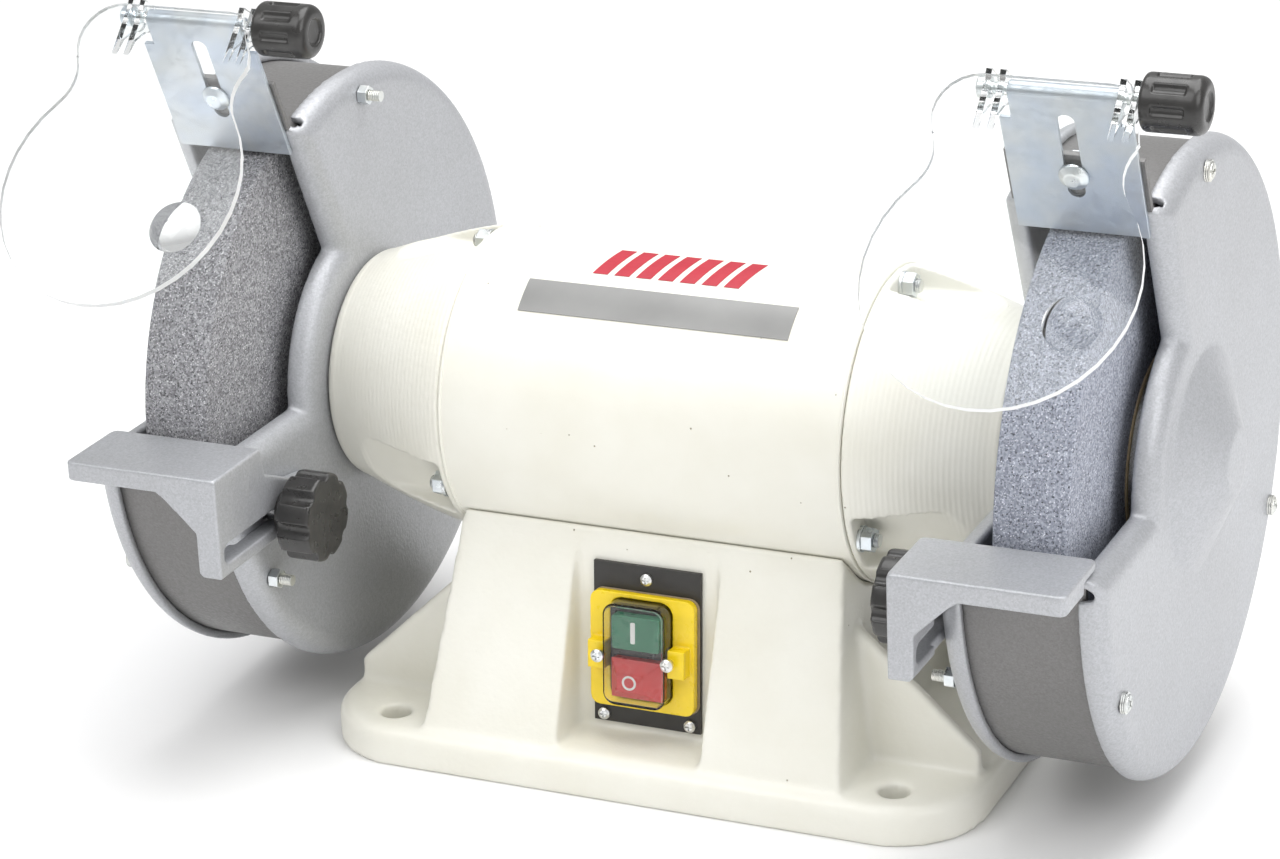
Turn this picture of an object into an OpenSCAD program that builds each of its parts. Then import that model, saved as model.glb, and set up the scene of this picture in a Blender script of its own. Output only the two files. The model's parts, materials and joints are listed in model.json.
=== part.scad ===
// Bench grinder with two wheels, built as separate pieces.
// X runs along the shaft, Y points away from the operator and Z is up.
// The origin is the middle of the bolt pattern, on the underside of the base.

/* [Shaft and wheels] */
// Height of the shaft centre above the bench
shaft_h = 157; // [156:0.5:160]
// Distance from the middle of the motor to the middle of each wheel
unit_x = 199; // [199:0.5:201]
// Diameter of a new wheel
wheel_d = 250; // [240:1:250]
// Width of a wheel
wheel_w = 32; // [28:1:32]
// Diameter of the shaft under the wheels
spindle_d = 20; // [18:1:20]
// Diameter of the shaft in the bearings
journal_d = 25; // [24:0.5:26]

/* [Guards] */
// Outside diameter of the guard cheeks
guard_d = 280; // [280:1:284]
// Width of a guard over both cheeks
guard_w = 72; // [72:0.5:74]
// Wall of the cast cheeks
cheek_t = 4; // [3.5:0.1:4.2]
// Depth of the rim of a cheek
rim_h = 11; // [10.5:0.5:12]
// Rounding between a cheek and its rim
rim_round = 10; // [8:0.5:10]
// Upper edge of the working opening, as an angle above the front
open_top = 66; // [62:1:68]
// Radius of the hub inside the working opening
hub_r = 69; // [66:1:70]
// Thickness of the sheet band round a wheel
band_t = 2.8; // [2:0.1:3]
// Height of the dome over the shaft end
dome_h = 15.5; // [15:0.5:16]

/* [Motor] */
// Outside diameter of the motor housing
motor_d = 142; // [141:1:142]
// Length of the motor housing
motor_len = 192; // [190:1:192]
// Wall of the motor housing
motor_wall = 10; // [9.5:0.5:10]
// Length of the stator and rotor cores
core_len = 90; // [70:2:110]
// Outside diameter of the bearings
bearing_d = 52; // [50:1:54]
// Width of a bearing
bearing_w = 15; // [13:0.5:15]

/* [Base] */
// Width of the base plate
base_w = 314; // [310:1:330]
// Depth of the base plate
base_d = 200; // [200:1:220]
// Height of the base plate
plate_h = 18.5; // [18:0.5:20]
// Wall of the base casting
base_wall = 6; // [5:0.5:7]
// Spacing of the bench bolts along the shaft
bolt_dx = 244; // [240:1:250]
// Spacing of the bench bolts from front to back
bolt_dy = 160; // [156:1:160]
// Diameter of the bench bolt holes
bolt_hole = 14; // [10:0.5:14]

/* [Tool rests] */
// Height of the table above the shaft centre
table_top = 5; // [4.5:0.5:6]
// Distance from the shaft to the front edge of the table
table_front = 170; // [168:1:180]
// Gap between the table and a new wheel
table_gap = 3.5; // [3:0.5:6]
// Width of a table
table_w = 75; // [70:1:76]

/* [Eye shields] */
// Lean of the shields away from vertical
shield_tilt = 44; // [34:1:60]
// Length of a shield below its hinge
shield_len = 142; // [140:1:144]
// Thickness of a shield
shield_t = 3; // [2.5:0.5:3.5]

/* [Switch] */
// Width of the black switch plate
switch_w = 52; // [50:1:56]
// Height of the black switch plate
switch_h = 75.6; // [74:0.2:76]
// Lean of the wall that carries the switch
switch_lean = 5; // [3:0.5:6]

/* [Hidden] */
$fn = 72;
// the three stations round the shaft that hold the motor and the guards together
STATIONS = [90, -30, 210];
SIDES = [-1, 1];
eps = 0.01;
SLOTS = 24;

// guards
guard_r = guard_d / 2;
guard_in = unit_x - guard_w / 2;
guard_out = unit_x + guard_w / 2;
guard_bolt_r = guard_r - rim_round - 0.5;
band_r = guard_r - cheek_t - 0.2;
// distance of the band from the outside face of each cheek, clear of the fillet inside the rim
band_z = rim_round - sqrt(0.4 * (rim_round - cheek_t) - 0.04) + 0.1;
dome_r = 50;
dome_top_r = 15;

// shaft stack, as distances from the middle of the motor
wheel_in = unit_x - wheel_w / 2;
wheel_out = unit_x + wheel_w / 2;
wheel_r = wheel_d / 2;
blotter_t = 0.8;
flange_r = 45;
shoulder_x = guard_in + 9;
flange_out = wheel_out + blotter_t + 10;
nut_t = 10;
spindle_end = flange_out + nut_t + 4;

// motor
motor_r = motor_d / 2;
motor_end = motor_len / 2;
bell_len = guard_in - motor_end;
rotor_r = 36;
stator_r = motor_r - motor_wall - 0.1;
tie_r = motor_r - 6;
bearing_in = 138;
bearing_out = bearing_in + bearing_w;
seat_end = bearing_out + 1.5;

// base
ped_x = [101.5, 92.4];
ped_y = [94.4, 58.3];
ped_z = [18.5, 114];
ped_slope = (ped_y[0] - ped_y[1]) / (ped_z[1] - ped_z[0]);
rear_lean = atan(ped_slope);
saddle_r = motor_r + 0.3;
pocket_w = 70;
pocket_floor = 20;
switch_z = 61.2;
switch_y = -64.1;
mount_x = 55;

// switch: screws, and the middle and size of each button as [x, y, width, height]
plate_screw_xy = [[0, 32.7], [-21, -33.5], [21, -33.5]];
cover_screw_x = 16.9;
start_at = [-0.8, 10.4, 23.2, 15.8];
stop_at = [-0.8, -11.6, 24.8, 18.4];

// tool rests
slot_h = -31.5;
slot_w = 9;
stud_front = 112;
arm_t = 8.8;
arm_in = guard_in - 0.2 - arm_t;
table_rear = wheel_r + table_gap;
knob_r = 20;

// deflector and shield hinge
defl_w = 56;
defl_t = 2;
defl_r0 = 127.6;
defl_bolt_r = 158;
hinge_r = 197.6;
barrel_r = 4;
hinge_off = defl_t - barrel_r;
seat_gap = 0.1;
hinge_y = -cos(open_top) * hinge_r - sin(open_top) * (hinge_off + seat_gap);
hinge_z = shaft_h + sin(open_top) * hinge_r - cos(open_top) * (hinge_off + seat_gap);
hinge_pin = 5;
rib_x = [23.6, 29.6];
rib_t = 2.6;
shield_off = -5.5;
knob_start = 33;
knob_end = 59;

function arc(cx, cy, r, a0, a1, n) = [for (i = [0:n])
    [cx + r * cos(a0 + (a1 - a0) * i / n), cy + r * sin(a0 + (a1 - a0) * i / n)]];

// Places children on one side: s = 1 is the right, s = -1 the left
module on_side(s) {
    if (s > 0) mirror([1, 0, 0]) children();
    else children();
}

// Frame of the left side, at distance d from the middle: x to the front, y up, z outwards
module side_frame(d) {
    translate([-d, 0, shaft_h]) rotate([90, 0, -90]) children();
}

// A point round the shaft, at radius r and angle a above the front
module round_shaft(a, r) {
    rotate(a) translate([r, 0, 0]) children();
}

// A body turned round the shaft, from points of [radius, x]
module turned(pts) {
    translate([0, 0, shaft_h]) rotate([0, 90, 0]) rotate_extrude() polygon(pts);
}

// A ring round the left-hand side of the shaft, from x0 to x1
module side_ring(x0, x1, ro, ri) {
    side_frame(x0) difference() {
        cylinder(r = ro, h = x1 - x0);
        translate([0, 0, -1]) cylinder(r = ri, h = x1 - x0 + 2);
    }
}

// A slot outline, centred on a line from [x0, y] to [x1, y]
module slot2d(x0, x1, y, w) {
    translate([x0, y - w / 2]) square([x1 - x0, w]);
    for (x = [x0, x1]) translate([x, y]) circle(d = w);
}

// A rectangle with round corners, centred on the origin
module round_rect(w, h, r) {
    square([w - 2 * r, h], center = true);
    square([w, h - 2 * r], center = true);
    for (x = SIDES, y = SIDES) translate([x * (w / 2 - r), y * (h / 2 - r)]) circle(r);
}

module hex_nut(af, h, bore) {
    difference() {
        cylinder(r = af / sqrt(3), h = h, $fn = 6);
        translate([0, 0, -1]) cylinder(d = bore, h = h + 2);
    }
}

// A screw with a low round head and a cross recess, head up on z = 0
module pan_screw(d, head_d, head_h, len) {
    difference() {
        union() {
            cylinder(d = head_d, h = head_h * 0.6);
            translate([0, 0, head_h * 0.6]) cylinder(d1 = head_d, d2 = head_d * 0.6, h = head_h * 0.4);
        }
        for (a = [0, 90]) rotate(a)
            translate([0, 0, head_h]) cube([head_d * 0.6, head_d * 0.15, head_h], center = true);
    }
    translate([0, 0, -len]) cylinder(d = d, h = len + eps);
}

// ---- base ----

module slab_section(len, h, re) {
    translate([-len / 2, 0]) square([len, h - re]);
    translate([-len / 2 + re, 0]) square([len - 2 * re, h]);
    for (s = SIDES) translate([s * (len / 2 - re), h - re]) circle(re);
}

// A plate with round corners and a rounded top edge
module soft_slab(w, d, h, rc, re) {
    translate([-(w - 2 * rc) / 2, 0, 0]) rotate([90, 0, 90])
        linear_extrude(w - 2 * rc) slab_section(d, h, re);
    translate([0, (d - 2 * rc) / 2, 0]) rotate([90, 0, 0])
        linear_extrude(d - 2 * rc) slab_section(w, h, re);
    for (x = SIDES, y = SIDES) translate([x * (w / 2 - rc), y * (d / 2 - rc), 0])
        rotate_extrude() intersection() {
            slab_section(2 * rc, h, re);
            square([rc + 1, h + 1]);
        }
}

// The tapered block of the pedestal, moved in by t on every side
module pedestal_block(t, z0, z1) {
    kx = (ped_x[0] - ped_x[1]) / (ped_z[1] - ped_z[0]);
    x0 = ped_x[0] + kx * (ped_z[0] - z0) - t;
    x1 = ped_x[0] + kx * (ped_z[0] - z1) - t;
    y0 = ped_y[0] + ped_slope * (ped_z[0] - z0) - t;
    y1 = ped_y[0] + ped_slope * (ped_z[0] - z1) - t;
    intersection() {
        translate([0, 200, 0]) rotate([90, 0, 0]) linear_extrude(400)
            polygon([[-x0, z0], [x0, z0], [x1, z1], [-x1, z1]]);
        translate([-200, 0, 0]) rotate([90, 0, 90]) linear_extrude(400)
            polygon([[-y0, z0], [y0, z0], [y1, z1], [-y1, z1]]);
    }
}

// The recess for the switch in the front of the pedestal, grown by t
module switch_pocket(t) {
    k = tan(switch_lean);
    top = 125;
    low = pocket_floor - t;
    translate([-pocket_w / 2 - t, 0, 0]) rotate([90, 0, 90]) linear_extrude(pocket_w + 2 * t)
        polygon([[switch_y + k * (top - switch_z) + t, top], [switch_y + k * (low - switch_z) + t, low],
            [-120, low], [-120, top]]);
}

// Frame on the switch wall: x to the right, y up the wall, z out of the wall
module switch_frame_at() {
    translate([0, switch_y, switch_z]) rotate([90 - switch_lean, 0, 0]) children();
}

module rear_face(x, z) {
    y = ped_y[0] + ped_slope * (ped_z[0] - z);
    translate([x, y, z]) rotate([rear_lean - 90, 0, 0]) children();
}

module gussets() {
    for (y = [-55, 49]) translate([0, y + base_wall, 0]) rotate([90, 0, 0])
        linear_extrude(base_wall) for (s = SIDES) scale([s, 1])
            polygon([[90, plate_h - 4], [152, plate_h - 4], [152, 29.5], [99.5, 78], [90, 87]]);
}

module base_casting() {
    color("ivory") difference() {
        union() {
            difference() {
                union() {
                    soft_slab(base_w, base_d, plate_h, 40, 6);
                    pedestal_block(0, plate_h - 8, ped_z[1]);
                    gussets();
                }
                // hollow underside of the plate
                translate([0, 0, -1]) linear_extrude(plate_h - base_wall + 1)
                    round_rect(base_w - 2 * base_wall, base_d - 2 * base_wall, 34);
                // hollow pedestal, left solid round the pocket and under the motor
                difference() {
                    pedestal_block(base_wall, plate_h - base_wall - 1, ped_z[1] + 1);
                    translate([0, 0, shaft_h]) rotate([0, 90, 0])
                        cylinder(r = saddle_r + base_wall, h = 300, center = true);
                    switch_pocket(base_wall);
                }
            }
            // bosses for the bench bolts, and for the bolts that hold the motor
            for (x = SIDES, y = SIDES) translate([x * bolt_dx / 2, y * bolt_dy / 2, 0])
                cylinder(r = 12.5, h = plate_h - 1);
            for (s = SIDES) translate([s * mount_x, 0, shaft_h - saddle_r - 10]) cylinder(r = 10, h = 8);
        }
        translate([0, 0, shaft_h]) rotate([0, 90, 0]) cylinder(r = saddle_r, h = 300, center = true);
        switch_pocket(0);
        // opening and screw holes behind the switch plate
        switch_frame_at() {
            translate([0, 0, -30]) linear_extrude(31) square([34.6, 46.6], center = true);
            for (p = plate_screw_xy) translate([p[0], p[1], -8]) cylinder(d = 3.1, h = 9);
        }
        for (x = SIDES, y = SIDES) translate([x * bolt_dx / 2, y * bolt_dy / 2, -1])
            cylinder(d = bolt_hole, h = plate_h + 2);
        for (s = SIDES) translate([s * mount_x, 0, 60]) cylinder(d = 8.4, h = 30);
        rear_face(60, 48) translate([0, 0, -12]) cylinder(d = 20.4, h = 14);
        // passage for the motor leads through the saddle
        translate([0, 24, 60]) cylinder(d = 16, h = 40);
    }
}

module cable_gland() {
    color("black") rear_face(60, 48) difference() {
        union() {
            translate([0, 0, 0.1]) cylinder(r = 15, h = 4, $fn = 6);
            translate([0, 0, -11]) cylinder(d = 20, h = 11.2);
            translate([0, 0, 4]) cylinder(d = 19, h = 9);
        }
        translate([0, 0, -12]) cylinder(d = 11, h = 30);
    }
}

module gland_nut() {
    color("black") rear_face(60, 48) difference() {
        union() {
            translate([0, 0, 6]) cylinder(r = 14, h = 8, $fn = 6);
            translate([0, 0, 14]) cylinder(r1 = 12, r2 = 8.5, h = 5);
        }
        translate([0, 0, 5]) cylinder(d = 19.1, h = 8.1);
        translate([0, 0, 5]) cylinder(d = 10, h = 20);
    }
}

module motor_mount_bolts() {
    color("silver") for (s = SIDES) translate([s * mount_x, 0, shaft_h - saddle_r - 10]) {
        translate([0, 0, -5.5]) cylinder(r = 13 / sqrt(3), h = 5.5, $fn = 6);
        cylinder(d = 8, h = 17);
    }
}

// ---- switch ----

module switch_plate() {
    color("dimgray") switch_frame_at() linear_extrude(2) difference() {
        translate([0, 0.8]) square([switch_w, switch_h], center = true);
        square([34.4, 46.4], center = true);
        for (p = plate_screw_xy) translate(p) circle(d = 3.4);
    }
}

module switch_body() {
    color("dimgray") switch_frame_at() difference() {
        union() {
            translate([-17, -23, -28]) cube([34, 46, 31.1]);
            translate([-19.5, -23, 3.03]) cube([39, 46, 1.22]);
            translate([-0.8, 0.4, 4]) linear_extrude(4) round_rect(28.6, 44.6, 4);
        }
        // the black surround and the wells that the buttons sink into
        for (b = [start_at, stop_at]) translate([b[0], b[1], 0]) {
            translate([0, 0, 6]) cube([b[2] + 0.4, b[3] + 0.4, 10], center = true);
            translate([-5.5, -4.5, -8]) cube([11, 9, 16]);
        }
    }
}

module switch_gasket() {
    color("tan") switch_frame_at() translate([0, -0.5, 2]) linear_extrude(1) difference() {
        round_rect(51.6, 54.6, 5);
        translate([0, 0.5]) square([34.4, 46.4], center = true);
    }
}

module switch_frame() {
    color("gold") switch_frame_at() difference() {
        union() {
            translate([-0.4, -0.5, 3]) linear_extrude(4) round_rect(50.6, 54, 4.5);
            // ears that hold the cover screws
            for (s = SIDES) translate([s * 19.4 - 4.7, -8, 6]) cube([8, 13, 7.5]);
        }
        translate([0, 0, 2.9]) linear_extrude(1.4) square([39.6, 46.6], center = true);
        translate([-0.8, 0.4, 2.9]) linear_extrude(14) round_rect(30.4, 48, 6);
        for (s = SIDES) translate([s * cover_screw_x - 0.8, -0.6, 2]) cylinder(d = 2.6, h = 14);
    }
}

module switch_cover() {
    color("white", 0.4) switch_frame_at() translate([-0.8, 0.4, 0]) difference() {
        union() {
            translate([0, 0, 4.4]) linear_extrude(11) round_rect(30, 47.6, 5.8);
            translate([0, 0, 14]) linear_extrude(2.4) round_rect(28, 45.6, 4.8);
        }
        translate([0, 0, 4.3]) linear_extrude(10.9) round_rect(28.8, 45, 4.3);
    }
}

// The stem of a button, below its cap
module button_stem() {
    translate([-5, -4, -4]) cube([10, 8, 9]);
}

module start_button() {
    color("green") switch_frame_at() translate([start_at[0], start_at[1], 0]) {
        translate([0, 0, 4.2]) linear_extrude(8.8) round_rect(start_at[2], start_at[3], 1.2);
        button_stem();
    }
}

module stop_button() {
    w = stop_at[2] / 2;
    h = stop_at[3] / 2;
    color("red") switch_frame_at() translate([stop_at[0], stop_at[1], 0]) {
        translate([0, 0, 4.2]) linear_extrude(7.3) round_rect(2 * w, 2 * h, 1.2);
        intersection() {
            translate([0, h, 0]) rotate([90, 0, 0]) linear_extrude(2 * h)
                polygon([[-w, 11], [w, 11], [w, 11.4], [w - 8, 14.6], [4 - w, 14.6], [-w, 11.4]]);
            translate([-w, 0, 0]) rotate([90, 0, 90]) linear_extrude(2 * w)
                polygon([[-h, 11], [h, 11], [h, 11.4], [h - 6, 14.6], [4 - h, 14.6], [-h, 11.4]]);
        }
        button_stem();
    }
}

module switch_plate_screws() {
    color("silver") switch_frame_at() for (p = plate_screw_xy)
        translate([p[0], p[1], 2]) pan_screw(3, 5.6, 2.2, 7);
}

module switch_cover_screws() {
    color("silver") switch_frame_at() for (s = SIDES)
        translate([s * cover_screw_x - 0.8, -0.6, 16.5]) pan_screw(2.5, 6, 2.2, 11.5);
}

// ---- motor ----

module motor_housing() {
    color("ivory") translate([-motor_end, 0, shaft_h]) rotate([90, 0, 90]) difference() {
        cylinder(r = motor_r, h = motor_len);
        translate([0, 0, -1]) cylinder(r = motor_r - motor_wall, h = motor_len + 2);
        // long holes for the tie studs
        for (a = STATIONS) rotate(180 - a) translate([tie_r, 0, -1]) cylinder(d = 6.2, h = motor_len + 2);
        // blind holes for the mounting bolts and the lead passage
        for (s = SIDES) translate([0, -motor_r - 1, motor_end + s * mount_x]) rotate([-90, 0, 0])
            cylinder(d = 8.1, h = 9);
        translate([24, -motor_r - 1, motor_end]) rotate([-90, 0, 0]) cylinder(d = 16, h = 30);
    }
}

module label_strip() {
    color("gray") translate([-64.5, 0, shaft_h]) rotate([90, 0, 90]) intersection() {
        difference() {
            cylinder(r = motor_r + 0.5, h = 129);
            translate([0, 0, -1]) cylinder(r = motor_r, h = 131);
        }
        linear_extrude(129) polygon([[0, 0], for (a = [119, 126, 133]) [90 * cos(a), 90 * sin(a)]]);
    }
}

// Outside radius of an end bell, at distance t from the housing
function bell_r(t) = motor_r - 15 * pow(t / 55, 1.3);

module left_end_bell_shape() {
    tip = bell_len - 6;
    rt = bell_r(tip);
    outer = [for (t = [0:tip / 10:tip + eps]) [bell_r(t), t]];
    side_frame(motor_end) difference() {
        union() {
            rotate_extrude()
                polygon(concat([[0, 0]], outer, arc(rt - 6, tip, 6, 15, 90, 5), [[0, bell_len]]));
            translate([0, 0, -6]) cylinder(r = motor_r - motor_wall - 0.05, h = 7);
        }
        // hollow over the windings, then the bearing seat and the shaft passage
        translate([0, 0, -7]) cylinder(r = 52, h = 37);
        translate([0, 0, 20]) cylinder(d = bearing_d, h = seat_end - motor_end - 20);
        cylinder(r = 20.5, h = bell_len + 1);
        // pockets in the casting that give room for the tie nuts
        for (a = STATIONS) rotate(a) translate([57.5, -17, 3.5]) cube([30, 34, 60]);
        for (a = STATIONS) round_shaft(a, tie_r) translate([0, 0, -1]) cylinder(d = 6.4, h = 8);
        for (a = [30, 150, 270]) round_shaft(a, 36) translate([0, 0, bell_len - 12]) cylinder(d = 6, h = 14);
    }
}

module left_end_bell() {
    color("ivory") left_end_bell_shape();
}

module right_end_bell() {
    color("ivory") on_side(1) left_end_bell_shape();
}

module stator_core() {
    color("slategray") side_frame(-core_len / 2) difference() {
        cylinder(r = stator_r, h = core_len);
        translate([0, 0, -1]) cylinder(r = rotor_r + 0.6, h = core_len + 2);
        for (i = [0:SLOTS - 1]) rotate(i * 360 / SLOTS)
            translate([rotor_r + 3, -2, -1]) cube([12, 4, core_len + 2]);
    }
}

module stator_windings() {
    color("chocolate") {
        for (s = SIDES) on_side(s) side_ring(core_len / 2, core_len / 2 + 20, 54, rotor_r + 3.2);
        side_frame(-core_len / 2 - 1) for (i = [0:SLOTS - 1]) rotate(i * 360 / SLOTS)
            translate([rotor_r + 3.4, -1.7, 0]) cube([11.2, 3.4, core_len + 2]);
    }
}

module rotor_core() {
    color("gray") side_frame(-core_len / 2) difference() {
        cylinder(r = rotor_r, h = core_len);
        translate([0, 0, -1]) cylinder(r = 15.02, h = core_len + 2);
    }
}

module rotor_end_rings() {
    color("lightgray") for (s = SIDES) on_side(s) {
        side_ring(core_len / 2, core_len / 2 + 6, rotor_r - 1.5, 20);
        side_frame(core_len / 2 + 6 - eps) for (a = [0:45:315]) rotate(a)
            translate([23, -1.2, 0]) cube([10, 2.4, 8]);
    }
}

module shaft() {
    color("silver") turned([[0, -spindle_end], [spindle_d / 2 - 1, -spindle_end],
        [spindle_d / 2, -spindle_end + 1], [spindle_d / 2, -shoulder_x], [journal_d / 2, -shoulder_x],
        [journal_d / 2, -bearing_in], [15, -bearing_in], [15, bearing_in], [journal_d / 2, bearing_in],
        [journal_d / 2, shoulder_x], [spindle_d / 2, shoulder_x], [spindle_d / 2, spindle_end - 1],
        [spindle_d / 2 - 1, spindle_end], [0, spindle_end]]);
}

module bearing_outer_rings() {
    color("silver") for (s = SIDES) on_side(s)
        side_ring(bearing_in, bearing_out, bearing_d / 2 - 0.02, journal_d / 2 + 4);
}

module bearing_inner_rings() {
    color("gainsboro") for (s = SIDES) on_side(s)
        side_ring(bearing_in, bearing_out, journal_d / 2 + 3.7, journal_d / 2);
}

module preload_washers() {
    color("gray") for (s = SIDES) on_side(s) side_ring(bearing_out, seat_end, bearing_d / 2 - 0.5, 21.5);
}

module shaft_seals() {
    color("black") for (s = SIDES) on_side(s) side_ring(seat_end + 1, guard_in - 1.5, 19.6, journal_d / 2);
}

module at_tie_ends(x) {
    for (s = SIDES) on_side(s) side_frame(motor_end + x)
        for (a = STATIONS) round_shaft(a, tie_r) children();
}

module tie_studs() {
    color("gainsboro") translate([-motor_end - 12.5, 0, shaft_h]) rotate([90, 0, 90])
        for (a = STATIONS) rotate(180 - a) translate([tie_r, 0, 0]) cylinder(d = 6, h = motor_len + 25);
}

module tie_washers() {
    color("gainsboro") at_tie_ends(3.5) difference() {
        cylinder(r = 5.9, h = 1.6);
        translate([0, 0, -1]) cylinder(d = 6.1, h = 4);
    }
}

module tie_nuts() {
    color("gainsboro") at_tie_ends(5.1) hex_nut(10, 5, 6.02);
}

// ---- guards ----

// Half section of a cheek: a flat wall with a round edge and a rim
module dish_section(r) {
    difference() {
        intersection() {
            square([r + 1, rim_h]);
            union() {
                square([r - rim_round, rim_h]);
                translate([r - rim_round, rim_round]) circle(rim_round);
            }
        }
        translate([-1, cheek_t]) square([r - rim_round + 1, rim_h]);
        translate([r - rim_round, rim_round]) circle(rim_round - cheek_t);
        translate([0, rim_round]) square([r - cheek_t, rim_h]);
    }
}

module envelope_section(r) {
    intersection() {
        square([r + 1, rim_h]);
        union() {
            square([r - rim_round, rim_h]);
            translate([r - rim_round, rim_round]) circle(rim_round);
        }
    }
}

// The sector of the working opening, moved out by t past its straight edges
module opening_sector(t) {
    far = 2 * guard_r;
    a = open_top;
    base = [t / sin(a / 2) * cos(a / 2 + 180), t / sin(a / 2) * sin(a / 2 + 180)];
    polygon([base, [far, -t], [far, far], [far * cos(a) - t * sin(a), far * sin(a) + t * cos(a)]]);
}

// Rounded edge that runs out from the shaft along x, with the wall on the side of +y
module straight_edge() {
    rotate([90, 0, 90]) linear_extrude(guard_r + 5) difference() {
        intersection() {
            square([rim_round + eps, rim_h]);
            union() {
                translate([rim_round, 0]) square([1, rim_h]);
                translate([rim_round, rim_round]) circle(rim_round);
            }
        }
        translate([rim_round, rim_round]) circle(rim_round - cheek_t);
        translate([cheek_t, rim_round]) square(rim_h);
    }
}

// A cheek with its outside face on z = 0 and its rim towards +z
module cheek_shape() {
    // everything outside the opening
    difference() {
        rotate_extrude() dish_section(guard_r);
        translate([0, 0, -1]) linear_extrude(rim_h + 2) opening_sector(rim_round);
    }
    // the hub inside the opening
    intersection() {
        rotate_extrude() dish_section(hub_r);
        translate([0, 0, -1]) linear_extrude(rim_h + 2) opening_sector(rim_round + eps);
    }
    // the two straight edges, cut to the round outline
    intersection() {
        rotate_extrude() envelope_section(guard_r);
        union() {
            rotate(open_top) translate([hub_r - 14, 0, 0]) straight_edge();
            mirror([0, 1, 0]) translate([hub_r - 14, 0, 0]) straight_edge();
        }
    }
}

module guard_bolt_holes(z0, z1) {
    for (a = STATIONS) round_shaft(a, guard_bolt_r) translate([0, 0, z0])
        cylinder(d = 5.2, h = z1 - z0);
}

module left_inner_cheek_shape() {
    side_frame(guard_in) difference() {
        cheek_shape();
        translate([0, 0, -1]) cylinder(r = 24, h = 20);
        guard_bolt_holes(-1, 20);
        for (a = [30, 150, 270]) round_shaft(a, 36) translate([0, 0, -1]) cylinder(d = 6.4, h = 9);
        translate([stud_front, slot_h, -1]) cylinder(d = 8.2, h = 9);
    }
}

module left_outer_cheek_shape() {
    side_frame(guard_out) mirror([0, 0, 1]) difference() {
        union() {
            cheek_shape();
            translate([0, 0, -dome_h]) cylinder(r1 = dome_top_r, r2 = dome_r, h = dome_h + eps);
        }
        // room for the shaft nut inside the dome
        translate([0, 0, cheek_t - dome_h])
            cylinder(r1 = dome_top_r - cheek_t, r2 = dome_r - cheek_t, h = dome_h + eps);
        guard_bolt_holes(-1, 20);
    }
}

// Rolled sheet band, with its end turned up at the top of the opening
module left_guard_band_shape() {
    width = guard_w - 2 * band_z;
    tab = 29.7;
    side_frame(guard_in) difference() {
        union() {
            difference() {
                translate([0, 0, band_z]) cylinder(r = band_r, h = width);
                translate([0, 0, band_z - 1]) cylinder(r = band_r - band_t, h = width + 2);
                linear_extrude(guard_w)
                    polygon([[0, 0], [300, -10], [300, 300], [300 * cos(open_top), 300 * sin(open_top)]]);
            }
            rotate(open_top) translate([band_r - band_t, 0, guard_w / 2 - tab])
                cube([34, band_t, 2 * tab]);
        }
        rotate(open_top) translate([defl_bolt_r, -1, guard_w / 2]) rotate([-90, 0, 0])
            cylinder(d = 6.2, h = 6);
        // room for the rims along the straight edges of the cheeks
        for (z = [-1, guard_w - rim_h - 0.1]) translate([0, 0, z]) linear_extrude(rim_h + 1.1)
            intersection() {
                opening_sector(cheek_t + 0.3);
                circle(guard_r + 0.3);
            }
    }
}

module left_inner_cheek() {
    color("silver") left_inner_cheek_shape();
}

module right_inner_cheek() {
    color("silver") on_side(1) left_inner_cheek_shape();
}

module left_outer_cheek() {
    color("silver") left_outer_cheek_shape();
}

module right_outer_cheek() {
    color("silver") on_side(1) left_outer_cheek_shape();
}

module left_guard_band() {
    color("darkgray") left_guard_band_shape();
}

module right_guard_band() {
    color("darkgray") on_side(1) left_guard_band_shape();
}

module cheek_screws() {
    color("silver") for (s = SIDES) on_side(s) side_frame(guard_in + cheek_t)
        for (a = [30, 150, 270]) round_shaft(a, 36) pan_screw(5.9, 10, 3.6, 14);
}

module guard_bolts() {
    color("silver") for (s = SIDES) on_side(s) side_frame(guard_out)
        for (a = STATIONS) round_shaft(a, guard_bolt_r) pan_screw(5, 9.5, 3.2, guard_w + 10.5);
}

module guard_nuts() {
    color("silver") for (s = SIDES) on_side(s) side_frame(guard_in - 4.5)
        for (a = STATIONS) round_shaft(a, guard_bolt_r) hex_nut(8, 4.5, 5.02);
}

// ---- wheels ----

module left_wheel_shape() {
    side_ring(wheel_in, wheel_out, wheel_r, 16.02);
}

module left_wheel() {
    color("dimgray") left_wheel_shape();
}

module right_wheel() {
    color("dimgray") on_side(1) left_wheel_shape();
}

module wheel_bushes() {
    color("white") for (s = SIDES) on_side(s) side_ring(wheel_in, wheel_out, 16, spindle_d / 2 + 0.02);
}

module blotters() {
    color("tan") for (s = SIDES) on_side(s) {
        side_ring(wheel_in - blotter_t, wheel_in, flange_r + 2, 17);
        side_ring(wheel_out, wheel_out + blotter_t, flange_r + 2, 17);
    }
}

// A pressed flange, dished so that it bears only near its rim
module flange(h) {
    rotate_extrude() polygon([[spindle_d / 2 + 0.02, 0], [24, 0], [34, h * 0.4], [flange_r - 3, h * 0.4],
        [flange_r, h * 0.7], [flange_r, h], [32, h], [30, h - 1.2], [spindle_d / 2 + 0.02, h - 1.2]]);
}

module inner_flanges() {
    color("silver") for (s = SIDES) on_side(s) side_frame(shoulder_x)
        flange(wheel_in - blotter_t - shoulder_x);
}

module outer_flanges() {
    color("silver") for (s = SIDES) on_side(s) side_frame(flange_out) mirror([0, 0, 1])
        flange(flange_out - wheel_out - blotter_t);
}

module shaft_nuts() {
    color("silver") for (s = SIDES) on_side(s) side_frame(flange_out) hex_nut(30, nut_t, spindle_d + 0.04);
}

// ---- tool rests ----

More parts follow.
